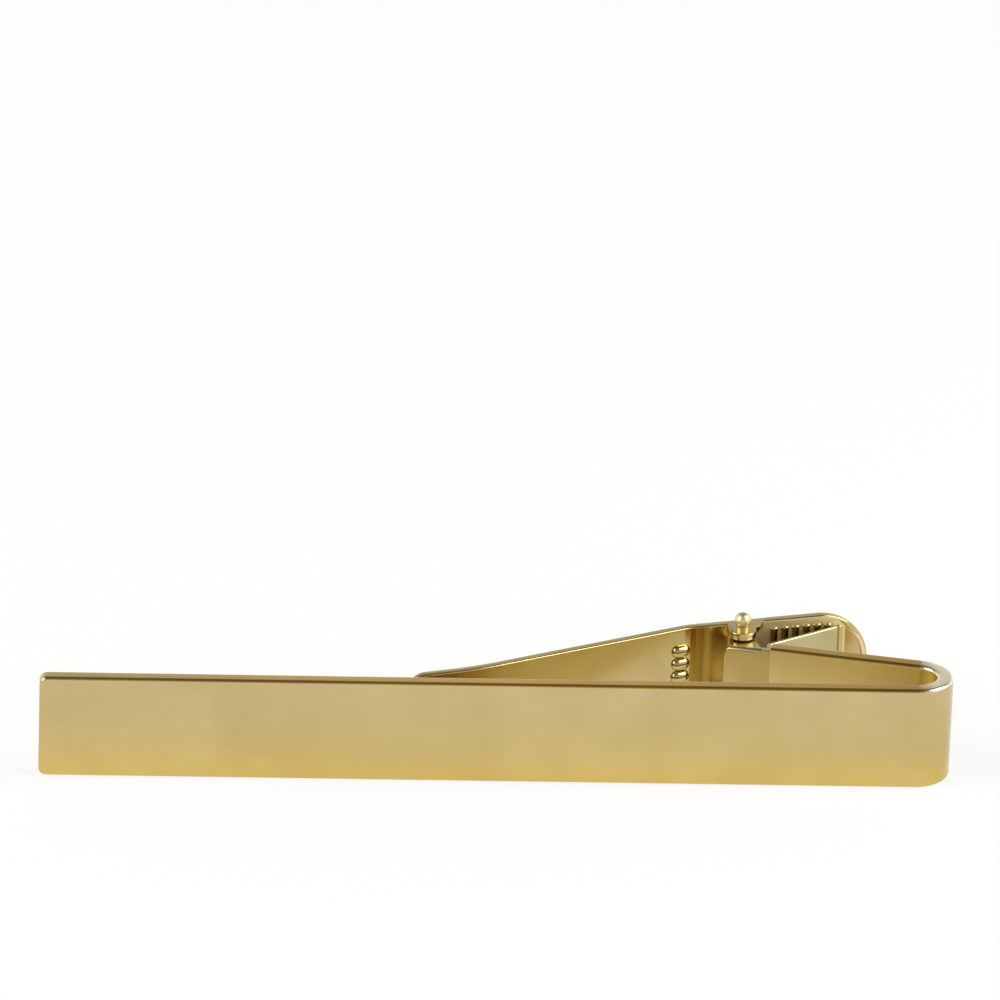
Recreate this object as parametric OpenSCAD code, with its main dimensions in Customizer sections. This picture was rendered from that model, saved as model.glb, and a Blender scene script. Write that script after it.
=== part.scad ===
// Tie clip: a folded strip of brass with a sprung clasp on its back limb.
// It stands on its long lower edge, with the front face towards -Y and the fold at +X.
// Lengths are in millimetres. The origin is the middle of the foot of the whole clip.

/* [Bar] */
// Length of the clip over its fold
bar_length = 60; // [50:0.5:75]
// Width of the strip, which is the height of the clip on its edge
bar_width = 7.1; // [6:0.1:10]
// Thickness of the strip
bar_thick = 1.1; // [0.8:0.05:1.3]
// Radius of the strip's rolled long edges
edge_round = 0.25; // [0.1:0.01:0.35]
// Radius of the two corners at the open end
corner_round = 0.5; // [0.3:0.05:1.5]
// Outer radius of the fold
fold_radius = 2.45; // [2.2:0.05:3.5]
// Straight length of the back limb behind the fold
limb_length = 10; // [9:0.1:11]
// Angle by which the back limb opens away from the bar
limb_angle = 13.5; // [8:0.5:18]

/* [Hinge plate] */
// Thickness of the hinge plate and its ears
plate_thick = 0.5; // [0.35:0.05:0.55]
// Length of plate that is soldered on the limb
plate_lap = 3.1; // [2.4:0.1:5]
// Length of plate past the pin, towards the open end
plate_nose = 0.9; // [0.85:0.05:1.2]
// Radius of the plate's rounded corners on the limb
plate_round = 0.8; // [0.4:0.05:1.5]
// Distance of the pin past the end of the limb, along the limb
pin_past_limb = 2.4; // [1.8:0.1:3]
// Height of the pin over the back face of the limb
pin_over_limb = 1.75; // [1.6:0.05:2.2]
// Radius of the plate's two corners at its nose
plate_nose_round = 0.65; // [0.4:0.05:0.65]
// Radius of the plate's ears round the pin
plate_ear_radius = 0.82; // [0.75:0.01:0.95]
// Length of the ears' foot on the plate, from the pin towards the fold
plate_ear_foot = 1.6; // [0.9:0.05:1.7]
// Length of the ears' foot on the plate, from the pin towards the nose
plate_ear_back = 0.25; // [0.2:0.01:0.25]

/* [Hinge pin] */
// Radius of the pin
pin_radius = 0.42; // [0.35:0.01:0.5]
// Radius of the ball head
head_radius = 0.56; // [0.5:0.02:0.7]
// Height of the ball's centre over the lever's ear
head_rise = 0.6; // [0.55:0.01:0.7]
// Radial clearance of the pin in the lever's ears
pin_running_fit = 0.03; // [0.01:0.01:0.1]
// Radial clearance of the pin in the plate's ears
pin_seat_fit = 0.01; // [0.01:0.01:0.02]

/* [Clasp lever] */
// Thickness of the lever's sheet
lever_thick = 0.6; // [0.5:0.05:0.7]
// Distance of the lever's edges inside the edges of the bar
lever_inset = 0.1; // [0.05:0.05:0.3]
// Gap between the tops of the plate's ears and the lever's inner face
lever_clearance = 0.06; // [0.04:0.01:0.2]
// Angle between the bar and the thumb pad, as they close
pad_angle = 14; // [10:0.5:18]
// Distance from the pin to the round end of the pad
pad_reach = 9.1; // [8.8:0.1:10.5]
// Distance from the pin to the kink of the arm
kink_reach = 2.9; // [2.6:0.1:4]
// Inner radius of the bend at the kink
kink_radius = 4; // [1:0.1:6]
// Angle between the bar and the middle of the arm
arm_angle = 26; // [22:0.5:28]
// Angle between the bar and the toe of the arm
toe_angle = 17; // [12:0.5:22]
// Length of the toe, past the soft bend
toe_length = 3.1; // [2:0.1:5]
// Radius of the soft bend before the toe
toe_bend_radius = 22; // [10:1:40]
// Gap between the toe and the back of the bar
toe_clearance = 0.04; // [0.02:0.01:0.3]
// Radius of the toe's two corners
toe_round = 1.2; // [0.5:0.1:2.5]
// Thickness of the lever's ears
ear_thick = 0.5; // [0.35:0.05:0.55]
// Radius of the lever's ears round the pin
ear_radius = 0.92; // [0.8:0.02:1.1]
// Length of the ears' foot on the lever, from the pin towards the pad's round end
ear_foot = 2; // [1.3:0.05:2.1]
// Length of the ears' foot on the lever, from the pin towards the arm
ear_back = 0.75; // [0.7:0.05:1.3]
// Side clearance between the lever's ears and the plate's ears
ear_clearance = 0.08; // [0.04:0.01:0.2]
// Outer radius of the folds at the foot of all four ears
fold_round = 0.25; // [0.15:0.05:0.45]

/* [Grip] */
// Number of ribs across the thumb pad
rib_count = 7; // [4:1:7]
// Spacing of the ribs
rib_pitch = 0.75; // [0.7:0.01:0.76]
// Radius of each rib
rib_radius = 0.34; // [0.25:0.01:0.36]
// Height of each rib over the face
rib_rise = 0.13; // [0.05:0.01:0.14]
// Plain rim that is left round the ribs
rib_rim = 0.55; // [0.4:0.05:1]
// Distance from the round end to the last rib
rib_end = 2.1; // [1.5:0.1:2.5]
// Number of gripping teeth across the arm
tooth_count = 5; // [3:1:6]
// Spacing of the teeth
tooth_pitch = 0.93; // [0.92:0.01:1]
// Radius of each rounded tooth
tooth_radius = 0.45; // [0.35:0.01:0.46]
// Straight length of each tooth between its round ends
tooth_run = 0.45; // [0.2:0.05:0.8]
// Height of each tooth over the arm's inner face
tooth_rise = 0.38; // [0.2:0.01:0.42]
// Depth of the hollow that the press leaves behind each tooth
tooth_dimple = 0.2; // [0.1:0.01:0.25]
// Distance of the teeth past the kink, towards the toe
tooth_past_kink = 0.05; // [0.05:0.05:1]

/* [Leaf spring] */
// Thickness of the spring's steel
spring_thick = 0.28; // [0.2:0.02:0.32]
// Distance of the spring's edges inside the lever's ears
spring_side_gap = 0.2; // [0.1:0.05:0.4]
// Radius of the spring's fold, at the middle of its steel
spring_fold = 0.5; // [0.4:0.02:0.6]
// Gap between the spring's fold and the plate's ears
spring_gap = 0.12; // [0.08:0.01:0.2]
// Length of the spring's short leg, on the plate
spring_foot = 2.3; // [1.8:0.1:2.6]
// Distance from the pin to the spring's tip, along the pad
spring_reach = 6.8; // [6.6:0.1:7.2]
// Gap between the spring and the faces that it bears on
spring_clearance = 0.02; // [0.01:0.01:0.05]

/* [Hidden] */
$fn = 64;
overrun = bar_thick;
// Depth by which a straight run is drawn into the bend before it, so that the two join
seam = 0.001;
// Number of flats that each bend of the lever is drawn with
bend_flats = 12;
gold = [0.80, 0.69, 0.42];
plate_gold = [0.74, 0.62, 0.34];
spring_gold = [0.83, 0.75, 0.52];

// The fold and the back limb
fold_x = bar_length - fold_radius;
fold_turn = 180 - limb_angle;
fold_mid_radius = fold_radius - bar_thick / 2;

// The pin, as seen along the bar from the open end and behind the front face
pin_along = limb_length + pin_past_limb;
pin_x = fold_x + fold_radius * sin(limb_angle) - pin_along * cos(limb_angle) + pin_over_limb * sin(limb_angle);
pin_y = fold_radius + fold_radius * cos(limb_angle) + pin_along * sin(limb_angle) + pin_over_limb * cos(limb_angle);

// Heights of the layers across the hinge
lever_low = lever_inset;
lever_high = bar_width - lever_inset;
lever_width = lever_high - lever_low;
plate_low = lever_low + ear_thick + ear_clearance;
plate_high = lever_high - ear_thick - ear_clearance;
spring_low = lever_low + ear_thick + spring_side_gap;
spring_high = lever_high - ear_thick - spring_side_gap;
mid_height = bar_width / 2;

// The arm: its straight length is what brings the toe down on the bar
lever_over_pin = plate_ear_radius + lever_clearance;
lever_mid = lever_over_pin + lever_thick / 2;
kink_turn = arm_angle - pad_angle;
toe_turn = arm_angle - toe_angle;
kink_mid_radius = kink_radius + lever_thick / 2;
kink_y = pin_y + lever_mid * cos(pad_angle) - kink_reach * sin(pad_angle);
kink_drop = kink_mid_radius * (cos(pad_angle) - cos(arm_angle));
toe_bend_drop = toe_bend_radius * (cos(toe_angle) - cos(arm_angle));
toe_drop = toe_length * sin(toe_angle);
toe_y = bar_thick + toe_clearance + lever_thick / 2 * cos(toe_angle);
arm_length = (kink_y - kink_drop - toe_bend_drop - toe_drop - toe_y) / sin(arm_angle);

// The middle of the lever's sheet, from the pad's round end to the toe: place, and angle to the pad
kink_line = [for (i = [0:bend_flats]) let (turn = kink_turn * i / bend_flats)
    [-kink_reach - kink_mid_radius * sin(turn), lever_mid - kink_mid_radius * (1 - cos(turn)), turn]];
arm_end = kink_line[bend_flats] - arm_length * [cos(kink_turn), sin(kink_turn), 0];
toe_line = [for (i = [0:bend_flats]) let (turn = kink_turn - toe_turn * i / bend_flats)
    [arm_end[0] - toe_bend_radius * (sin(kink_turn) - sin(turn)),
     arm_end[1] + toe_bend_radius * (cos(kink_turn) - cos(turn)), turn]];
toe_lean = kink_turn - toe_turn;
toe_tip = toe_line[bend_flats] - toe_length * [cos(toe_lean), sin(toe_lean), 0];
lever_line = concat([[pad_reach, lever_mid, 0]], kink_line, toe_line, [toe_tip]);

// A place beside a point of that line, on the sheet's outer side, or on its inner side for less than zero
function beside(point, out) = [point[0] - out * sin(point[2]), point[1] + out * cos(point[2])];

// The pad's round end and the depth of the whole clip
pad_round = lever_width / 2;
pad_centre = pad_reach - pad_round;
clip_depth = pin_y + pad_reach * sin(pad_angle) + (lever_over_pin + lever_thick) * cos(pad_angle);

// The spring's fold and its long leg, measured from the pin, along and square to the limb
fold_from_pin = plate_ear_foot + spring_gap + spring_fold + spring_thick / 2;
fold_under_pin = pin_over_limb - plate_thick - spring_clearance - spring_thick / 2 - spring_fold;
limb_to_pad = limb_angle + pad_angle;
tip_off_pin = lever_over_pin - rib_rise - spring_clearance - spring_thick / 2;
tip_along = spring_reach * cos(limb_to_pad) - tip_off_pin * sin(limb_to_pad) - fold_from_pin;
tip_up = spring_reach * sin(limb_to_pad) + tip_off_pin * cos(limb_to_pad) + fold_under_pin;
tip_distance = norm([tip_along, tip_up]);
leg_angle = atan2(tip_up, tip_along) - asin(spring_fold / tip_distance);
leg_length = sqrt(pow(tip_distance, 2) - pow(spring_fold, 2));

// Puts what is drawn from the open end's lower front corner round the origin
module in_place() {
    translate([-bar_length / 2, -clip_depth / 2, 0]) children();
}

// Moves to the pin's axis, with X along the limb towards the fold and Y away from it
module at_limb() {
    translate([pin_x, pin_y, 0]) rotate([0, 0, -limb_angle]) children();
}

// Moves to the pin's axis, with X along the pad towards its round end and Y away from the bar
module at_pad() {
    translate([pin_x, pin_y, 0]) rotate([0, 0, pad_angle]) children();
}

// Section of the strip, standing on its edge, with rolled edges
module strip_section() {
    for (side = [-1, 1]) {
        for (z = [edge_round, bar_width - edge_round]) {
            translate([side * (bar_thick / 2 - edge_round), z]) circle(r = edge_round);
        }
    }
    translate([-bar_thick / 2, edge_round]) square([bar_thick, bar_width - 2 * edge_round]);
    translate([-bar_thick / 2 + edge_round, 0]) square([bar_thick - 2 * edge_round, bar_width]);
}

// A straight run of the strip along X, from the place it is drawn at
module strip_run(length) {
    translate([-seam, 0, 0]) rotate([90, 0, 90]) linear_extrude(height = length + seam) strip_section();
}

// Cuts the outline of the open end, seen from the front, with its two round corners
module end_outline() {
    rotate([90, 0, 0]) translate([0, 0, -bar_thick - overrun]) linear_extrude(height = bar_thick + 2 * overrun) {
        for (z = [corner_round, bar_width - corner_round]) {
            translate([corner_round, z]) circle(r = corner_round);
        }
        translate([corner_round, 0]) square([bar_length, bar_width]);
        translate([0, corner_round]) square([2 * corner_round, bar_width - 2 * corner_round]);
    }
}

module tie_bar() {
    color(gold) in_place() {
        intersection() {
            translate([0, bar_thick / 2, 0]) strip_run(fold_x);
            end_outline();
        }
        translate([fold_x, fold_radius, 0]) {
            rotate([0, 0, -90]) rotate_extrude(angle = fold_turn)
                translate([fold_mid_radius, 0]) strip_section();
            rotate([0, 0, fold_turn]) translate([0, -fold_mid_radius, 0]) strip_run(limb_length);
        }
    }
}

// Outline of an ear: a round boss at the pin on a foot at the sheet, front to +X of the pin and back to -X
module ear_outline(radius, front, back, reach, hole) {
    difference() {
        union() {
            circle(r = radius);
            polygon([[-radius, 0], [radius, 0], [front, reach], [-back, reach]]);
        }
        circle(r = hole);
    }
}

// What lies outside a quarter circle in its square corner
module corner_waste(radius) {
    difference() {
        square([radius + overrun, radius + overrun]);
        circle(r = radius);
    }
}

// Takes off the sharp corner outside a fold that runs along X, from -back to front
module fold_cut(radius, front, back) {
    rotate([90, 0, 90]) translate([0, 0, -back]) linear_extrude(height = front + back) corner_waste(radius);
}

module hinge_plate() {
    lap_end = pin_past_limb + plate_lap;
    plate_width = plate_high - plate_low;
    ear_reach = pin_over_limb - plate_thick / 2;
    color(plate_gold) in_place() at_limb() difference() {
        union() {
            translate([0, plate_thick - pin_over_limb, 0]) rotate([90, 0, 0])
                linear_extrude(height = plate_thick) {
                    translate([0, plate_low + plate_round]) square([lap_end, plate_width - 2 * plate_round]);
                    translate([-plate_nose, plate_low + plate_nose_round])
                        square([plate_nose, plate_width - 2 * plate_nose_round]);
                    translate([plate_nose_round - plate_nose, plate_low])
                        square([plate_nose - plate_nose_round + lap_end - plate_round, plate_width]);
                    for (side = [-1, 1]) {
                        translate([lap_end - plate_round, mid_height + side * (plate_width / 2 - plate_round)])
                            circle(r = plate_round);
                        translate([plate_nose_round - plate_nose,
                                mid_height + side * (plate_width / 2 - plate_nose_round)])
                            circle(r = plate_nose_round);
                    }
                }
            for (z = [plate_low, plate_high - plate_thick]) {
                translate([0, 0, z]) linear_extrude(height = plate_thick) mirror([0, 1, 0])
                    ear_outline(plate_ear_radius, plate_ear_foot, plate_ear_back, ear_reach,
                        pin_radius + pin_seat_fit);
            }
        }
        translate([0, 0, mid_height]) for (side = [0, 1]) {
            mirror([0, 0, side]) translate([0, fold_round - pin_over_limb, plate_width / 2 - fold_round])
                mirror([0, 1, 0]) fold_cut(fold_round, plate_ear_foot, plate_nose);
        }
    }
}

// Half-round ribs across the pad, each as long as the round end leaves room for
module pad_ribs() {
    first = pad_reach - rib_end;
    for (i = [0:rib_count - 1]) {
        x = first - i * rib_pitch;
        past = max(x - pad_centre, 0);
        half = sqrt(pow(pad_round, 2) - pow(past, 2)) - rib_rim;
        translate([x, rib_radius - rib_rise, mid_height]) cylinder(r = rib_radius, h = 2 * half, center = true);
    }
}

// The lever's two ears, folded down from its long edges
module lever_ears() {
    for (z = [lever_low, lever_high - ear_thick]) {
        translate([0, 0, z]) linear_extrude(height = ear_thick)
            ear_outline(ear_radius, ear_foot, ear_back, lever_over_pin + lever_thick / 2,
                pin_radius + pin_running_fit);
    }
}

// The lever seen on its edge: pad, kink, arm, soft bend and toe in one bent sheet
module lever_profile() {
    count = len(lever_line);
    polygon(concat(
        [for (point = lever_line) beside(point, lever_thick / 2)],
        [for (i = [1:count]) beside(lever_line[count - i], -lever_thick / 2)]));
}

// Moves to the middle of the arm's sheet where the kink ends, and to where the soft bend ends
module at_arm() {
    translate([-kink_reach, lever_mid - kink_mid_radius, 0]) rotate([0, 0, kink_turn])
        translate([0, kink_mid_radius, 0]) children();
}
module at_toe() {
    at_arm() translate([-arm_length, toe_bend_radius, 0]) rotate([0, 0, -toe_turn])
        translate([0, -toe_bend_radius, 0]) children();
}

// Takes the sheet back to a round corner, above and below, at a distance along the pad or the toe
module round_corners(along, radius) {
    for (side = [0, 1]) {
        translate([along, lever_thick, mid_height]) mirror([0, 0, side]) rotate([90, 0, 0])
            linear_extrude(height = 2 * lever_thick)
                translate([0, lever_width / 2 - radius]) children();
    }
}

// The row of long rounded teeth, pressed out of the arm from behind: out is how far each stands
module tooth_row(out) {
    for (i = [0:tooth_count - 1]) {
        translate([-tooth_past_kink, tooth_radius - out, mid_height + (i - (tooth_count - 1) / 2) * tooth_pitch]) {
            sphere(r = tooth_radius);
            translate([-tooth_run, 0, 0]) sphere(r = tooth_radius);
            rotate([0, -90, 0]) cylinder(r = tooth_radius, h = tooth_run);
        }
    }
}

module clasp_lever() {
    color(gold) in_place() at_pad() difference() {
        union() {
            translate([0, 0, lever_low]) linear_extrude(height = lever_width) lever_profile();
            lever_ears();
            translate([0, lever_over_pin, 0]) pad_ribs();
            at_arm() translate([0, -lever_thick / 2, 0]) tooth_row(tooth_rise);
        }
        translate([0, lever_over_pin + lever_thick, 0]) pad_ribs();
        at_arm() translate([0, lever_thick / 2, 0]) tooth_row(tooth_dimple);
        translate([0, lever_mid, 0]) round_corners(pad_centre, pad_round) corner_waste(pad_round);
        at_toe() round_corners(toe_round - toe_length, toe_round) mirror([1, 0]) corner_waste(toe_round);
        translate([0, 0, mid_height]) for (side = [0, 1]) {
            mirror([0, 0, side])
                translate([0, lever_over_pin + lever_thick - fold_round, lever_width / 2 - fold_round])
                    fold_cut(fold_round, ear_foot, ear_back);
        }
    }
}

module hinge_pin() {
    color(plate_gold) in_place() at_limb() translate([0, 0, lever_low]) {
        cylinder(r = pin_radius, h = lever_width + head_rise);
        translate([0, 0, lever_width + head_rise]) sphere(r = head_radius);
    }
}

module leaf_spring() {
    width = spring_high - spring_low;
    inner = spring_fold - spring_thick / 2;
    color(spring_gold) in_place() at_limb() translate([fold_from_pin, -fold_under_pin, spring_low]) {
        translate([-seam, -spring_fold - spring_thick / 2, 0]) cube([spring_foot + seam, spring_thick, width]);
        rotate([0, 0, leg_angle]) {
            translate([0, inner, 0]) cube([leg_length, spring_thick, width]);
            rotate([0, 0, 90]) rotate_extrude(angle = 180 - leg_angle) translate([inner, 0])
                square([spring_thick, width]);
        }
    }
}

tie_bar();
hinge_plate();
clasp_lever();
hinge_pin();
leaf_spring();
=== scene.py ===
"""Looks of a gold-plated tie clip with a sprung alligator clasp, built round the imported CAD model."""
from math import asin, atan2, cos, hypot, radians, sin, sqrt

import bmesh
import bpy
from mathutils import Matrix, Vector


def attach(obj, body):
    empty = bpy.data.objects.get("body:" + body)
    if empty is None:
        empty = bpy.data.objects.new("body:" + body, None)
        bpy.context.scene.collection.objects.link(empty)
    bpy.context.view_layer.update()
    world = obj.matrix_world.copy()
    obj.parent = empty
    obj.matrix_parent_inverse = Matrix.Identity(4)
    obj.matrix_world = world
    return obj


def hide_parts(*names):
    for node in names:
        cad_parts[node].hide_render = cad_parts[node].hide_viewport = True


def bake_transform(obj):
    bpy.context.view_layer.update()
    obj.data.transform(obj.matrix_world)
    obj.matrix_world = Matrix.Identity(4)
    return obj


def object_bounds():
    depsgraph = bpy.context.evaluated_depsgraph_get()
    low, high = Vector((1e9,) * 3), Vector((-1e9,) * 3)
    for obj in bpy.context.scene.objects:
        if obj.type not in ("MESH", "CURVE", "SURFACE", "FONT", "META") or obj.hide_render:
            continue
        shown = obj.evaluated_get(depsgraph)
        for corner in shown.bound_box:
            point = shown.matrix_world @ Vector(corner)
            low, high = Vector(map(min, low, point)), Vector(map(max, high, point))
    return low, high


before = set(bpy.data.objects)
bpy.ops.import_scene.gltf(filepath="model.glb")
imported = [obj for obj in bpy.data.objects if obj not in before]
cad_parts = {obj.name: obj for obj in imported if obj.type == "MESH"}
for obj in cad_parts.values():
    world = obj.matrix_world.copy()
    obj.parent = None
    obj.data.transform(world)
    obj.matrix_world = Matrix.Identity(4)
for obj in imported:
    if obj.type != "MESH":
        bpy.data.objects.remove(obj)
cad_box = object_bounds()
bpy.ops.object.select_all(action="DESELECT")

# Tie bar: one strip of brass, 1.1 by 7.1 mm, its long edges rolled round before it is folded back
# on itself at the closed end. It is polished, then gold plated; the outer face is lapped to a soft
# satin. Pieces are drawn in millimetres from the open end's lower front corner, then seated.
mm = 0.001
bar_length, bar_width, bar_thick = 60.0, 7.1, 1.1
bar_roll, bar_corner = 0.25, 0.5
fold_radius, limb_length, limb_angle = 2.45, 10.0, radians(13.5)
fold_x = bar_length - fold_radius
clip_depth = (cad_box[1][1] - cad_box[0][1]) / mm
fold_flats, roll_flats, corner_flats = 72, 6, 8
half_turn, sharp, smooth = radians(180), radians(60), radians(35)
# how close, in millimetres, is the same place, and how square to an axis is facing along it
near, facing = 0.01, 0.9
# the limb is drawn too long, and then cut to length by a block that passes both edges of the strip
limb_spare, block_size, block_height = 1.0, 4.0, 12.0


def pick_faces(test):
    """Selects the faces of the mesh in edit mode whose centre and normal pass the test, and no others."""
    mesh = bmesh.from_edit_mesh(bpy.context.edit_object.data)
    chosen = [face for face in mesh.faces if test(face.calc_center_median(), face.normal)]
    bpy.ops.mesh.select_all(action="DESELECT")
    for face in chosen:
        face.select_set(True)
    bmesh.update_edit_mesh(bpy.context.edit_object.data)


def pick_edges(test):
    """Selects the edges of the mesh in edit mode whose two ends pass the test, and no others."""
    mesh = bmesh.from_edit_mesh(bpy.context.edit_object.data)
    chosen = [edge for edge in mesh.edges if test(edge.verts[0].co, edge.verts[1].co)]
    bpy.ops.mesh.select_all(action="DESELECT")
    for edge in chosen:
        edge.select_set(True)
    bmesh.update_edit_mesh(bpy.context.edit_object.data)


def round_sharp_edges(radius, flats):
    """Rounds every edge of the mesh in edit mode where its faces meet at a sharp angle."""
    bpy.ops.mesh.select_all(action="DESELECT")
    bpy.ops.mesh.edges_select_sharp(sharpness=sharp)
    bpy.ops.mesh.bevel(offset=radius, segments=flats, affect="EDGES")


def draw_sheet(name, low_corner, high_corner):
    """A flat piece of sheet between two corners, as an object in edit mode."""
    bpy.ops.mesh.primitive_cube_add(
        size=1, location=[(low + high) / 2 for low, high in zip(low_corner, high_corner)],
        scale=[high - low for low, high in zip(low_corner, high_corner)])
    sheet = bpy.context.object
    sheet.name = name
    bpy.ops.object.transform_apply()
    bpy.ops.object.mode_set(mode="EDIT")
    return sheet


def draw_out(x, y):
    """Extrudes what is selected by x and y, and leaves the new end selected."""
    bpy.ops.mesh.extrude_region_move(TRANSFORM_OT_translate={"value": (x, y, 0)})


def curl(angle, centre, flats):
    """Extrudes what is selected round a centre, clockwise from above where the angle is over zero."""
    bpy.ops.mesh.spin(steps=flats, angle=angle, center=(*centre, 0), axis=(0, 0, 1))


def face_outwards():
    """Makes every face of the mesh in edit mode point outwards."""
    bpy.ops.mesh.select_all(action="SELECT")
    bpy.ops.mesh.normals_make_consistent()


def combine(piece, other, way):
    """Joins another shape to a piece, or cuts it away, and removes the other shape."""
    bpy.ops.object.select_all(action="DESELECT")
    piece.select_set(True)
    bpy.context.view_layer.objects.active = piece
    step = piece.modifiers.new("step", "BOOLEAN")
    step.operation, step.solver, step.object = way, "MANIFOLD", other
    bpy.ops.object.modifier_apply(modifier=step.name)
    bpy.data.objects.remove(other)


def seat(piece, turn=0.0, at=(0.0, 0.0)):
    """Turns a piece drawn in millimetres, sets it in its place on the clip, and shades it."""
    bpy.ops.object.select_all(action="DESELECT")
    piece.select_set(True)
    bpy.context.view_layer.objects.active = piece
    bpy.ops.object.transform_apply()
    piece.rotation_euler = (0, 0, turn)
    piece.scale = (mm, mm, mm)
    piece.location = ((at[0] - bar_length / 2) * mm, (at[1] - clip_depth / 2) * mm, 0)
    bpy.ops.object.transform_apply()
    bpy.ops.object.shade_smooth_by_angle(angle=smooth)
    evener = piece.modifiers.new("even shading", "WEIGHTED_NORMAL")
    evener.keep_sharp = True
    bpy.ops.object.modifier_apply(modifier=evener.name)


bar = draw_sheet("folded_bar", (0, 0, 0), (fold_x, bar_thick, bar_width))
bpy.ops.mesh.select_mode(type="EDGE")
pick_faces(lambda centre, normal: normal.x > facing)
curl(limb_angle - half_turn, (fold_x, fold_radius), fold_flats)
draw_out(-(limb_length + limb_spare) * cos(limb_angle), (limb_length + limb_spare) * sin(limb_angle))
face_outwards()
# the open end's two corners are rounded first, and then every long edge is rolled
pick_edges(lambda a, b: max(a.x, b.x) < near and abs(a.z - b.z) < near)
bpy.ops.mesh.bevel(offset=bar_corner, segments=corner_flats, affect="EDGES")
round_sharp_edges(bar_roll, roll_flats)
bpy.ops.object.mode_set(mode="OBJECT")
block_along, block_out = limb_length + block_size / 2, fold_radius - bar_thick / 2
bpy.ops.mesh.primitive_cube_add(
    size=block_size, rotation=(0, 0, -limb_angle), scale=(1, 1, block_height / block_size),
    location=(fold_x + block_out * sin(limb_angle) - block_along * cos(limb_angle),
              fold_radius + block_out * cos(limb_angle) + block_along * sin(limb_angle),
              bar_width / 2))
combine(bar, bpy.context.object, "DIFFERENCE")
seat(bar)
fold_centre = ((fold_x - bar_length / 2) * mm, (fold_radius - clip_depth / 2) * mm)


def linear(code):
    """An sRGB hex colour as the linear values that a shader takes."""
    channels = [int(code[i:i + 2], 16) / 255 for i in (0, 2, 4)]
    return tuple(c / 12.92 if c <= 0.04045 else ((c + 0.055) / 1.055) ** 2.4 for c in channels) + (1.0,)


def add(tree, kind, links=(), stops=(), **settings):
    """Adds one node to a tree with its settings, the stops of its colour ramp, each a place and a hex
    colour, and its links, each (input, node, output)."""
    node = tree.nodes.new("ShaderNode" + kind)
    for name, value in settings.items():
        if name in node.inputs:
            node.inputs[name].default_value = value
        else:
            setattr(node, name, value)
    # a new ramp already has its two outer stops
    for place, tone in stops[1:-1]:
        node.color_ramp.elements.new(place).color = linear(tone)
    for end, (place, tone) in zip((0, -1), (*stops[:1], *stops[-1:])):
        node.color_ramp.elements[end].color = linear(tone)
        node.color_ramp.elements[end].position = place
    for entry, source, output in links:
        tree.links.new(source.outputs[output], node.inputs[entry])
    return node


def gold_plate(name, light, deep, roughness, cloud_mm, line_mm, drift=None):
    """Gold plating on polished metal: warm, and it mirrors its surroundings softly. The colour drifts
    a little with the plating's thickness, over cloud_mm, and the polishing wheel leaves lines along
    the strip, line_mm apart, that show only as a change of gloss. A drift tints it along an axis of
    the clip, from one millimetre mark to another, through evenly spaced tones. It stands in for what
    the real clip mirrors and a plain studio can't give."""
    finish = bpy.data.materials.new(name)
    finish.use_nodes = True
    tree = finish.node_tree
    tree.nodes.clear()
    place = add(tree, "TexCoord")
    clouds = add(tree, "TexNoise", [("Vector", place, "Object")], Scale=1 / (cloud_mm * mm), Detail=3.0)
    # noise keeps near its middle value, so the tones, and the gloss below, change over its middle part
    cloud_low, cloud_high, line_low, line_high = 0.35, 0.65, 0.3, 0.7
    colour = add(tree, "ValToRGB", [("Fac", clouds, "Fac")], stops=[(cloud_low, deep), (cloud_high, light)])
    metal, metal_out = colour, "Color"
    if drift:
        axis, start, end, tones = drift
        marks = add(tree, "SeparateXYZ", [("Vector", place, "Object")])
        along = add(tree, "MapRange", [("Value", marks, axis)], **{
            "From Min": start * mm, "From Max": end * mm})
        tint = add(tree, "ValToRGB", [("Fac", along, "Result")], stops=[
            (i / (len(tones) - 1), tone) for i, tone in enumerate(tones)])
        # a mix of colours takes them at its inputs 6 and 7, and gives the result at its output 2
        metal, metal_out = add(
            tree, "Mix", [(6, colour, "Color"), (7, tint, "Color")],
            data_type="RGBA", blend_type="MULTIPLY", Factor=1.0), 2
    # real polishing lines are finer than line_mm, which is as fine as the render shows; each is drawn
    # out to some seventy times its width, and is a little more or less matt than the rest
    line_squeeze, least_matt, most_matt = 0.015, 0.92 * roughness, 1.1 * roughness
    stretched = add(tree, "Mapping", [("Vector", place, "Object")], Scale=(line_squeeze, line_squeeze, 1))
    lines = add(tree, "TexNoise", [("Vector", stretched, "Vector")], Scale=1 / (line_mm * mm), Detail=2.0)
    matt = add(tree, "MapRange", [("Value", lines, "Fac")], **{
        "From Min": line_low, "From Max": line_high, "To Min": least_matt, "To Max": most_matt})
    # plating never lies quite flat: it has a faint ripple
    ripple_mm, ripple_rise_mm, ripple_share = 0.5, 0.01, 0.1
    ripple = add(tree, "TexNoise", [("Vector", place, "Object")], Scale=1 / (ripple_mm * mm), Detail=2.0)
    bump = add(tree, "Bump", [("Height", ripple, "Fac")],
               Strength=ripple_share, Distance=ripple_rise_mm * mm)
    inputs = [("Base Color", metal, metal_out), ("Roughness", matt, "Result"), ("Normal", bump, "Normal")]
    shader = add(tree, "BsdfPrincipled", inputs, Metallic=1.0)
    add(tree, "OutputMaterial", [("Surface", shader, "BSDF")])
    return finish


def give_finish(piece, slot, test):
    """Gives the faces that pass the test the finish in a slot, on a piece in edit mode."""
    pick_faces(test)
    piece.active_material_index = slot
    bpy.ops.object.material_slot_assign()


def looks_inwards(centre, normal):
    """Tells whether a face of the strip looks into the fold. The strip's edges don't."""
    into_fold = normal.x * (fold_centre[0] - centre.x) + normal.y * (fold_centre[1] - centre.y)
    return into_fold > 0 and abs(normal.z) < facing


def is_upper_edge(centre, normal):
    """Tells whether a face belongs to the strip's upper edge, with most of its rolled corners."""
    return normal.z > 0.35


fold_mark = fold_x - bar_length / 2
bar.data.materials.clear()
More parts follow.
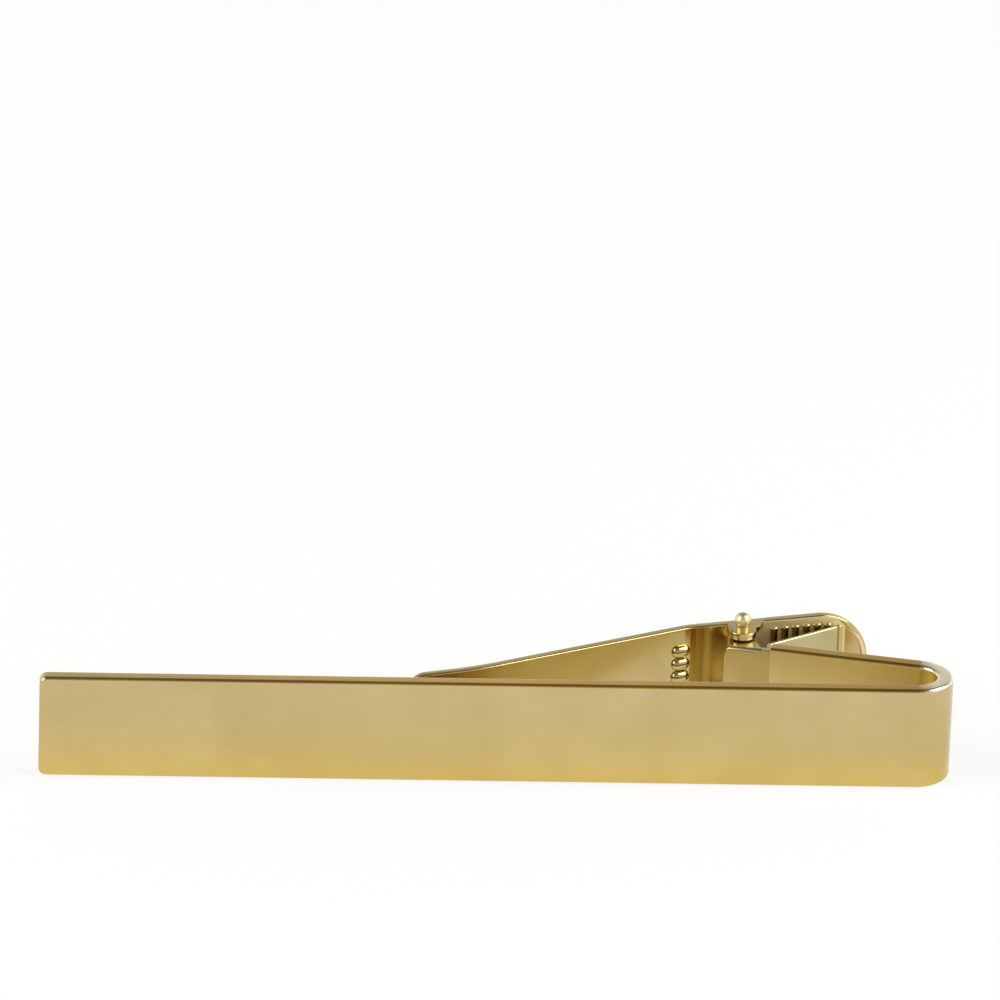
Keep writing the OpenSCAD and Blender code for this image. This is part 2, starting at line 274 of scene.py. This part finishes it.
# the lapped face mirrors softly; towards its lower edge its colour is painted warmer, a painted reflection
# of the gold-lit paper just in front of it
bar.data.materials.append(gold_plate(
    "satin gold plate", "ffffff", "f7f5ef", roughness=0.2, cloud_mm=5.0, line_mm=0.06,
    drift=("Z", 0.2, bar_width, ("d9bb6c", "cdb77a", "ccb67f", "ccb787"))))
# the inner face is taken to be unpolished, so it mirrors less sharply; its colour is painted paler towards
# the fold, painted light on faces that sit in the fold's shade
bar.data.materials.append(gold_plate(
    "unpolished gold plate with painted light inside the fold", "ffffff", "f9f7f2", roughness=0.3, cloud_mm=5.0, line_mm=0.06,
    drift=("X", -8.0, 8.0, ("cdb880", "f0e2b6"))))
# round the fold's inner bend the same plate is painted a deeper gold, a painted reflection of the gold that
# the bend mirrors from the facing strip
bar.data.materials.append(gold_plate(
    "painted deep gold reflection round the fold", "ffffff", "f9f7f2", roughness=0.3, cloud_mm=5.0, line_mm=0.06,
    drift=("X", fold_mark - 0.15, fold_mark + 1.05, ("f0e2b6", "c9ad50"))))
# the upper edge is painted redder than the faces along its middle, and browner towards the fold, a painted
# reflection
bar.data.materials.append(gold_plate(
    "reddish gold plate on the strip's edge", "ffffff", "f9f7f2", roughness=0.2, cloud_mm=5.0, line_mm=0.06,
    drift=("X", -bar_length / 2, bar_length / 2, ("d0bc78", "e4b963", "bd994a"))))
# round the fold that edge is painted as the brightest line on the clip, a painted highlight
bar.data.materials.append(gold_plate(
    "gold plate with a painted highlight on the fold's edge", "ffffff", "f9f7f2", roughness=0.2, cloud_mm=5.0, line_mm=0.06,
    drift=("X", fold_mark - 0.05, fold_mark + 1.25, ("c09c4d", "fff6d8"))))
bpy.ops.object.mode_set(mode="EDIT")
give_finish(bar, 1, looks_inwards)
give_finish(bar, 2, lambda centre, normal: looks_inwards(centre, normal) and centre.x > fold_centre[0])
give_finish(bar, 3, is_upper_edge)
give_finish(bar, 4, lambda centre, normal: is_upper_edge(centre, normal) and centre.x > fold_centre[0])
bpy.ops.object.mode_set(mode="OBJECT")
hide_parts("tie_bar")
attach(bar, "bar_body")

# Hinge plate: a short base of 0.5 mm brass sheet, hard-soldered on the back of the limb, with an
# ear folded up at each side that holds the pin. Its four corners are rounded off. It is drawn from
# the pin's axis, with X along the limb and Y away from it.
pin_over_limb, pin_past_limb = 1.75, 2.4
pin_over_fold, pin_along = fold_radius + pin_over_limb, limb_length + pin_past_limb
pin = (fold_x + pin_over_fold * sin(limb_angle) - pin_along * cos(limb_angle),
       fold_radius + pin_over_fold * cos(limb_angle) + pin_along * sin(limb_angle))
lever_inset, ear_thick, ear_clearance = 0.1, 0.5, 0.08
lever_low, lever_high = lever_inset, bar_width - lever_inset
plate_low, plate_high = lever_low + ear_thick + ear_clearance, lever_high - ear_thick - ear_clearance
plate_thick, plate_nose, plate_lap = 0.5, 0.9, 3.1
plate_end = pin_past_limb + plate_lap
plate_round, plate_nose_round, plate_edge, plate_fold_round = 0.8, 0.65, 0.08, 0.25
plate_ear, plate_ear_foot, plate_ear_back, ear_edge = 0.82, 1.6, 0.25, 0.07
# an ear starts inside the sheet, this share of its thickness up, and this far in from its long edge
ear_root, ear_step = 0.4, 0.003
quarter_turn = radians(90)


def ear(radius, front, back, reach, low, thick, name):
    """One ear: a round boss at the pin on a foot at the sheet, from -back to front, its edges broken."""
    bpy.ops.mesh.primitive_cylinder_add(
        vertices=64, radius=radius, depth=thick, location=(0, 0, low + thick / 2))
    tab = bpy.context.object
    tab.name = name
    bpy.ops.object.transform_apply()
    bpy.ops.object.mode_set(mode="EDIT")
    # the half of the round that faces the sheet becomes the straight foot
    pick_edges(lambda a, b: min(a.y * reach, b.y * reach) > near)
    bpy.ops.transform.resize(value=((front + back) / (2 * radius), 0, 1), center_override=(0, reach, 0))
    bpy.ops.transform.translate(value=((front - back) / 2, 0, 0))
    pick_edges(lambda a, b: abs(a.z - b.z) < near and max(abs(a.y - reach), abs(b.y - reach)) > near)
    bpy.ops.mesh.bevel(offset=ear_edge, segments=3, affect="EDGES")
    bpy.ops.object.mode_set(mode="OBJECT")
    return tab


def round_fold(piece, y, side, low, high, front, back, radius):
    """Rounds the outside of the folds at the foot of a piece's ears. The sheet's outer face is at y,
    facing side, and its long edges are at low and high."""
    # a block stands over each fold, a wheel that is longer than the block is taken out of it, and
    # what is left of the block is cut away from the piece
    length, block = front + back, 1.0
    wheel_length = 4 * length
    for edge, down in ((high, -1), (low, 1)):
        bpy.ops.mesh.primitive_cylinder_add(
            vertices=48, radius=radius, depth=wheel_length, rotation=(0, quarter_turn, 0),
            location=(0, y - side * radius, edge + down * radius))
        wheel = bpy.context.object
        bpy.ops.mesh.primitive_cube_add(
            size=1, scale=(length, block, block),
            location=((front - back) / 2, y + side * (block / 2 - radius),
                      edge + down * (radius - block / 2)))
        waste = bpy.context.object
        combine(waste, wheel, "DIFFERENCE")
        combine(piece, waste, "DIFFERENCE")


plate = draw_sheet("soldered_plate", (-plate_nose, -pin_over_limb, plate_low),
                   (plate_end, plate_thick - pin_over_limb, plate_high))
pick_edges(lambda a, b: min(a.x, b.x) > plate_end - near and abs(a.z - b.z) < near)
bpy.ops.mesh.bevel(offset=plate_round, segments=corner_flats, affect="EDGES")
pick_edges(lambda a, b: max(a.x, b.x) < near - plate_nose and abs(a.z - b.z) < near)
bpy.ops.mesh.bevel(offset=plate_nose_round, segments=corner_flats, affect="EDGES")
round_sharp_edges(plate_edge, flats=3)
bpy.ops.object.mode_set(mode="OBJECT")
plate_ear_reach = ear_root * plate_thick - pin_over_limb
for low in (plate_low + ear_step, plate_high - plate_thick - ear_step):
    tab = ear(plate_ear, plate_ear_foot, plate_ear_back, plate_ear_reach, low, plate_thick, "plate_ear")
    combine(plate, tab, "UNION")
round_fold(plate, -pin_over_limb, -1, plate_low, plate_high, plate_ear_foot, plate_nose, plate_fold_round)
seat(plate, -limb_angle, pin)
# no wheel can reach in here after the soldering, so the plate is taken to be unpolished, and
# mirrors less sharply than the bar's face
plate.data.materials.clear()
plate.data.materials.append(gold_plate(
    "unpolished gold plate on the hinge", "d2c08d", "c9b682", roughness=0.25, cloud_mm=3.0, line_mm=0.05))
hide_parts("hinge_plate")
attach(plate, "bar_body")

# Leaf spring: a strip of 0.28 mm spring steel, bent to a narrow V round a former, plated with the
# rest. Its short leg lies on the hinge plate and its long leg pushes the thumb pad out. It is drawn
# from the middle of its fold, and its long leg is as long as it takes to reach the pad's ribs.
pad_angle, lever_clearance, rib_rise = radians(14), 0.06, 0.13
lever_over_pin = plate_ear + lever_clearance
spring_thick, spring_fold, spring_foot, spring_reach = 0.28, 0.5, 2.3, 6.8
spring_gap, spring_side_gap, spring_clearance, spring_edge = 0.12, 0.2, 0.02, 0.11
spring_low, spring_high = lever_low + ear_thick + spring_side_gap, lever_high - ear_thick - spring_side_gap
fold_from_pin = plate_ear_foot + spring_gap + spring_fold + spring_thick / 2
fold_over_pin = spring_fold + spring_thick / 2 + spring_clearance + plate_thick - pin_over_limb
limb_to_pad = limb_angle + pad_angle
tip_off_pin = lever_over_pin - rib_rise - spring_clearance - spring_thick / 2
tip_along = spring_reach * cos(limb_to_pad) - tip_off_pin * sin(limb_to_pad) - fold_from_pin
tip_up = spring_reach * sin(limb_to_pad) + tip_off_pin * cos(limb_to_pad) - fold_over_pin
tip_distance = hypot(tip_along, tip_up)
leg_angle = atan2(tip_up, tip_along) - asin(spring_fold / tip_distance)
leg_length = sqrt(tip_distance ** 2 - spring_fold ** 2)
spring_fold_flats, leg_flats = 40, 16

spring = draw_sheet("v_leaf_spring", (0, -spring_fold - spring_thick / 2, spring_low),
                    (spring_foot, spring_thick / 2 - spring_fold, spring_high))
pick_faces(lambda centre, normal: normal.x < -facing)
curl(half_turn - leg_angle, (0, 0), spring_fold_flats)
# the long leg is drawn out in short steps
for _ in range(leg_flats):
    draw_out(leg_length / leg_flats * cos(leg_angle), leg_length / leg_flats * sin(leg_angle))
face_outwards()
round_sharp_edges(spring_edge, flats=4)
bpy.ops.mesh.select_all(action="SELECT")
bpy.ops.transform.translate(value=(fold_from_pin, fold_over_pin, 0))
bpy.ops.object.mode_set(mode="OBJECT")
seat(spring, -limb_angle, pin)
# a thin flash of gold on hard, smooth steel is paler than on brass, and mirrors more sharply
spring.data.materials.clear()
spring.data.materials.append(gold_plate(
    "gold flash on spring steel", "c4b587", "bbac7b", roughness=0.15, cloud_mm=4.0, line_mm=0.05))
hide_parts("leaf_spring")
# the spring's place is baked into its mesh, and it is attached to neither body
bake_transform(spring)

# Hinge pin: a drawn wire with a ball head turned on its top end. It is pushed through the four
# ears from above, and its lower end is peened over flush with the lever.
pin_radius, head_radius, head_rise, peened_edge = 0.42, 0.56, 0.6, 0.1

bpy.ops.mesh.primitive_cylinder_add(
    vertices=64, radius=pin_radius, depth=lever_high - lever_low + head_rise,
    location=(0, 0, (lever_low + lever_high + head_rise) / 2))
wire = bpy.context.object
wire.name = "ball_headed_pin"
bpy.ops.object.mode_set(mode="EDIT")
pick_faces(lambda centre, normal: normal.z < -facing)
bpy.ops.mesh.bevel(offset=peened_edge, segments=4, affect="EDGES")
bpy.ops.object.mode_set(mode="OBJECT")
bpy.ops.mesh.primitive_uv_sphere_add(
    segments=64, ring_count=40, radius=head_radius, location=(0, 0, lever_high + head_rise))
combine(wire, bpy.context.object, "UNION")
seat(wire, 0, pin)
# the lathe's fine marks under the plating spread the light into one soft, pale spot on the ball
wire.data.materials.clear()
wire.data.materials.append(gold_plate(
    "gold plate on turned wire", "ead9a6", "e2d09a", roughness=0.42, cloud_mm=2.0, line_mm=0.05))
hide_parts("hinge_pin")
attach(wire, "bar_body")

# Clasp lever: one stamping of 0.6 mm brass. A thumb pad with a full round end and pressed ribs, a
# kink with a row of pressed teeth behind it, a long arm whose toe bears on the bar, and two ears
# folded in over the plate's ears. It turns on the pin. It is drawn with X along the pad.
lever_thick, lever_edge, lever_fold_round = 0.6, 0.12, 0.16
lever_mid = lever_over_pin + lever_thick / 2
arm_angle, toe_angle = radians(26), radians(17)
pad_reach, kink_reach, kink_radius = 9.1, 2.9, 4.0 + lever_thick / 2
pad_round, pad_start = (lever_high - lever_low) / 2, 0.6
toe_length, toe_bend, toe_clearance, toe_round, toe_corner_zone = 3.1, 22.0, 0.04, 1.2, 0.2
kink_flats, toe_bend_flats, toe_flats, pad_flats = 16, 24, 12, 40
ear_radius, ear_foot, ear_back = 0.92, 2.0, 0.75
rib_count, rib_pitch, rib_radius, rib_rim, rib_end, rib_edge = 7, 0.75, 0.34, 0.55, 2.1, 0.09
tooth_count, tooth_pitch, tooth_radius, tooth_run = 5, 0.93, 0.45, 0.45
tooth_rise, tooth_dimple, tooth_past = 0.38, 0.2, 0.05
dish_rim, dish_depth, dish_edge, dish_past_rib = 0.35, 0.16, 0.1, 0.1
# the pad's end is a half round but for a hair of straight edge between its two corners
pad_straight = 0.02

# the arm is as long as it takes to bring the toe down on the bar
kink_turn, toe_turn = arm_angle - pad_angle, arm_angle - toe_angle
toe_lean = kink_turn - toe_turn
kink_y = pin[1] + lever_mid * cos(pad_angle) - kink_reach * sin(pad_angle)
kink_drop = kink_radius * (cos(pad_angle) - cos(arm_angle))
toe_drop = toe_bend * (cos(toe_angle) - cos(arm_angle)) + toe_length * sin(toe_angle)
toe_y = bar_thick + toe_clearance + lever_thick / 2 * cos(toe_angle)
arm_length = (kink_y - kink_drop - toe_drop - toe_y) / sin(arm_angle)
kink_centre = (-kink_reach, lever_mid - kink_radius)
arm_start = (kink_centre[0] - kink_radius * sin(kink_turn), kink_centre[1] + kink_radius * cos(kink_turn))
arm_end = (arm_start[0] - arm_length * cos(kink_turn), arm_start[1] - arm_length * sin(kink_turn))
toe_centre = (arm_end[0] - toe_bend * sin(kink_turn), arm_end[1] + toe_bend * cos(kink_turn))
toe_start = toe_centre[0] + toe_bend * sin(toe_lean)
toe_corners = toe_start - (toe_length - toe_corner_zone) * cos(toe_lean)

lever = draw_sheet("clasp_lever_sheet", (-kink_reach, lever_over_pin, lever_low),
                   (pad_reach, lever_over_pin + lever_thick, lever_high))
pick_faces(lambda centre, normal: normal.x < -facing)
curl(-kink_turn, kink_centre, kink_flats)
draw_out(-arm_length * cos(kink_turn), -arm_length * sin(kink_turn))
curl(toe_turn, toe_centre, toe_bend_flats)
draw_out(-toe_length * cos(toe_lean), -toe_length * sin(toe_lean))
face_outwards()
pick_edges(lambda a, b: max(a.x, b.x) < toe_corners and abs(a.z - b.z) < near)
bpy.ops.mesh.bevel(offset=toe_round, segments=toe_flats, affect="EDGES")
pick_edges(lambda a, b: min(a.x, b.x) > pad_reach - near and abs(a.z - b.z) < near)
bpy.ops.mesh.bevel(offset=pad_round - pad_straight, segments=pad_flats, affect="EDGES")
round_sharp_edges(lever_edge, flats=4)
bpy.ops.object.mode_set(mode="OBJECT")

# past the last rib the pad's inner face is dished, inside a flat rim
dish_start = pad_reach - rib_end + rib_radius + dish_past_rib
bpy.ops.mesh.primitive_cylinder_add(
    vertices=96, radius=pad_round - dish_rim, depth=2 * dish_depth, rotation=(quarter_turn, 0, 0),
    location=(pad_reach - pad_round, lever_over_pin, bar_width / 2))
dish = bpy.context.object
bpy.ops.object.transform_apply()
bpy.ops.object.mode_set(mode="EDIT")
bpy.ops.mesh.select_all(action="SELECT")
bpy.ops.mesh.bisect(plane_co=(dish_start, 0, 0), plane_no=(1, 0, 0), use_fill=True, clear_inner=True)
round_sharp_edges(dish_edge, flats=3)
bpy.ops.object.mode_set(mode="OBJECT")
combine(lever, dish, "DIFFERENCE")

for low in (lever_low, lever_high - ear_thick):
    combine(lever, ear(ear_radius, ear_foot, ear_back, lever_mid, low, ear_thick, "lever_ear"), "UNION")
round_fold(
    lever, lever_over_pin + lever_thick, 1, lever_low, lever_high, ear_foot, ear_back, lever_fold_round)

pin_mark = pin[0] - bar_length / 2
lever.data.materials.clear()
# the lever is polished, and mirrors sharply, apart from two places on its inner face
lever.data.materials.append(gold_plate(
    "polished gold plate on the clasp", "ccb67d", "c3ad71", roughness=0.15, cloud_mm=4.0, line_mm=0.05))
# the pad's inner face is taken to be unpolished, so it is dull, and its colour is painted pale, painted
# light on a face that sits in shade
lever.data.materials.append(gold_plate(
    "unpolished gold plate with painted light under the pad", "faecbe", "f2e2b0", roughness=0.5, cloud_mm=3.0, line_mm=0.05))
# inside the bend the face is painted brown, painted shade where the ears and the plate shade it, and paler
# towards the pin, painted light
lever.data.materials.append(gold_plate(
    "painted shade and light inside the bend", "ffffff", "f4efe2", roughness=0.2, cloud_mm=3.0, line_mm=0.05,
    drift=("X", pin_mark - 3.373, pin_mark - 1.773, ("a58438", "93722a", "ffe690"))))
bpy.ops.object.select_all(action="DESELECT")
lever.select_set(True)
bpy.context.view_layer.objects.active = lever
bpy.ops.object.mode_set(mode="EDIT")
bpy.ops.mesh.select_all(action="SELECT")
bpy.ops.mesh.bisect(plane_co=(-pad_start, 0, 0), plane_no=(1, 0, 0))
bend_start = arm_start[0] + tooth_radius
give_finish(lever, 1, lambda centre, normal: normal.y < -facing and -pad_start < centre.x < dish_start)
give_finish(lever, 2, lambda centre, normal: normal.y < -facing and bend_start < centre.x < -pad_start)
bpy.ops.object.mode_set(mode="OBJECT")


def press(row, way):
    """Presses a row of separate shapes into the lever, or out of it, in one go."""
    bpy.ops.object.select_all(action="DESELECT")
    for shape in row:
        shape.select_set(True)
    bpy.context.view_layer.objects.active = row[0]
    bpy.ops.object.join()
    combine(lever, row[0], way)


def press_ribs(y, way):
    """The row of half-round ribs across the pad, raised on one face and sunk in the other. They get
    shorter towards the pad's round end."""
    row = []
    for i in range(rib_count):
        x = pad_reach - rib_end - i * rib_pitch
        half = sqrt(pad_round ** 2 - max(x - (pad_reach - pad_round), 0) ** 2) - rib_rim
        bpy.ops.mesh.primitive_cylinder_add(
            vertices=48, radius=rib_radius, depth=2 * half,
            location=(x, y + rib_radius - rib_rise, bar_width / 2))
        row.append(bpy.context.object)
        bpy.ops.object.mode_set(mode="EDIT")
        pick_faces(lambda centre, normal: abs(normal.z) > facing)
        bpy.ops.mesh.bevel(offset=rib_edge, segments=3, affect="EDGES")
        bpy.ops.object.mode_set(mode="OBJECT")
    press(row, way)


def press_teeth(off, out, way):
    """The row of long rounded teeth past the kink: pressed out on one face, hollow on the other."""
    bpy.ops.mesh.primitive_uv_sphere_add(segments=36, ring_count=24, radius=tooth_radius)
    bpy.ops.object.mode_set(mode="EDIT")
    pick_faces(lambda centre, normal: centre.z < 0)
    bpy.ops.mesh.extrude_region_move(TRANSFORM_OT_translate={"value": (0, 0, -tooth_run)})
    bpy.ops.object.mode_set(mode="OBJECT")
    row = [bpy.context.object]
    while len(row) < tooth_count:
        bpy.ops.object.duplicate()
        row.append(bpy.context.object)
    depth = off + tooth_radius - out
    x = arm_start[0] - tooth_past * cos(kink_turn) - depth * sin(kink_turn)
    y = arm_start[1] - tooth_past * sin(kink_turn) + depth * cos(kink_turn)
    for i, tooth in enumerate(row):
        tooth.rotation_euler = (0, quarter_turn, kink_turn)
        tooth.location = (x, y, bar_width / 2 + (i - (tooth_count - 1) / 2) * tooth_pitch)
    press(row, way)


press_ribs(lever_over_pin + lever_thick, "DIFFERENCE")
press_teeth(lever_thick / 2, tooth_dimple, "DIFFERENCE")
press_ribs(lever_over_pin, "UNION")
press_teeth(-lever_thick / 2, tooth_rise, "UNION")
seat(lever, pad_angle, pin)
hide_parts("clasp_lever")
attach(lever, "lever_body")

# Studio: the clip stands on its edge on a white sheet between two soft lamps, under a dim ceiling,
# and is seen from a little above its front face through a long lens. Sizes and places here are in
# metres.
floor_radius, floor_drop = 3.0, 0.02 * mm
bpy.ops.mesh.primitive_circle_add(
    vertices=96, radius=floor_radius, fill_type="NGON", location=(0, 0, -floor_drop))
floor = bpy.context.object
floor.name = "white_sheet"
# the paper is matt, and the camera and the metal see it as nearly pure white
paper_glow = 0.8
sheet = bpy.data.materials.new("white paper sheet")
sheet.use_nodes = True
tree = sheet.node_tree
tree.nodes.clear()
paper = add(tree, "BsdfDiffuse", Color=linear("f2f2f0"))
glow = add(tree, "Emission", Color=linear("ffffff"), Strength=1.0)
rays = add(tree, "LightPath")
seen = add(tree, "Math", [(0, rays, "Is Camera Ray"), (1, rays, "Is Glossy Ray")], operation="MAXIMUM")
share = add(tree, "Math", [(0, seen, "Value")], operation="MULTIPLY")
share.inputs[1].default_value = paper_glow
mix = add(tree, "MixShader", [("Fac", share, "Value"), (1, paper, "BSDF"), (2, glow, "Emission")])
add(tree, "OutputMaterial", [("Surface", mix, "Shader")])
floor.data.materials.append(sheet)

# the walls are white low down and fade to a dim ceiling: height is 0 at the horizon and 1 overhead
world = bpy.data.worlds.new("studio")
bpy.context.scene.world = world
world.use_nodes = True
tree = world.node_tree
tree.nodes.clear()
around = add(tree, "TexCoord")
height = add(tree, "SeparateXYZ", [("Vector", around, "Generated")])
shade = add(tree, "ValToRGB", [("Fac", height, "Z")], stops=[
    (0.0, "ffffff"), (0.12, "ffffff"), (0.3, "e4e4e4"), (0.45, "cacaca"), (0.75, "7c7c7c"), (0.95, "6a6a6a"),
    (1.0, "6a6a6a")])
sky = add(tree, "Background", [("Color", shade, "Color")], Strength=1.0)
add(tree, "OutputWorld", [("Surface", sky, "Background")])


def lamp(name, place, size, power):
    """A square softbox that faces the clip."""
    light = bpy.data.lights.new(name, "AREA")
    light.size, light.energy = size, power
    stand = bpy.data.objects.new(name, light)
    bpy.context.scene.collection.objects.link(stand)
    stand.location = place
    stand.rotation_euler = (-stand.location).to_track_quat("-Z", "Y").to_euler()


lamp("left softbox", (-0.45, -0.1, 0.35), size=0.35, power=2.0)
lamp("right softbox", (0.45, -0.05, 0.38), size=0.35, power=2.5)

# the camera stands 0.7 m away and some 24 degrees above the clip
camera = bpy.data.cameras.new("camera")
camera.lens = 381.29
camera.sensor_width = 36
camera.clip_end = 20
viewer = bpy.data.objects.new("camera", camera)
bpy.context.scene.collection.objects.link(viewer)
viewer.location = (-0.02915, -0.632186, 0.302751)
viewer.rotation_euler = (radians(65.7157), radians(-1.808), radians(-1.8214))
bpy.context.scene.camera = viewer
bpy.context.scene.view_settings.view_transform = "Standard"
